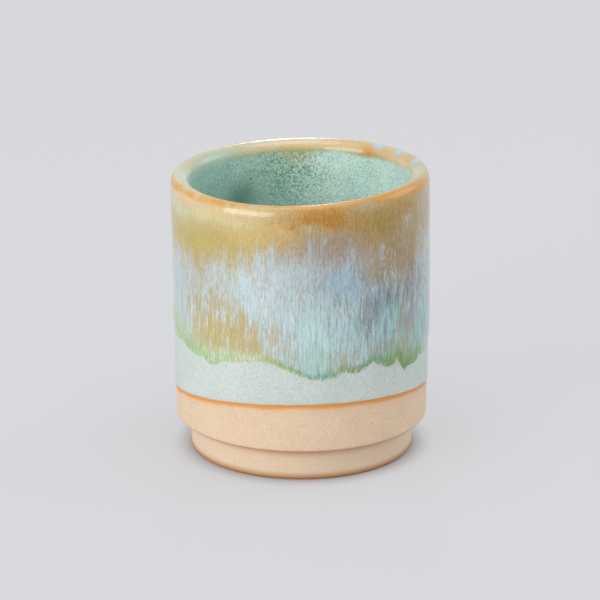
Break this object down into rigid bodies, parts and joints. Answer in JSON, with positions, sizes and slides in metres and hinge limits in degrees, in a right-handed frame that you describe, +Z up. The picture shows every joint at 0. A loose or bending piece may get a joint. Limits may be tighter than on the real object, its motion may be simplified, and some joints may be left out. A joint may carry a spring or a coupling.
{
  "type": "tea cup",
  "caption": "Handle-less cylindrical stoneware tea cup with a stepped-in foot ring, bare clay base, pale lower glaze and a streaked glaze that runs down from the lip.",
  "frame": {"origin": "on the table under the foot ring, at the cup's axis", "axes": "+Z up along the cup's axis, -Y towards the front, where the bare clay band is tallest"},
  "size_m": [0.074, 0.074, 0.082],
  "materials": {
    "bare_clay": "unglazed matt stoneware",
    "liner_glaze": "gloss, speckled green",
    "base_glaze": "satin, pale and finely speckled",
    "run_glaze": "gloss, streaked"
  },
  "bodies": {
    "root": {"clay_body": "bare_clay", "foot_ring": "bare_clay", "liner_glaze": "liner_glaze", "base_glaze": "base_glaze", "run_glaze": "run_glaze"}
  },
  "joints": []
}
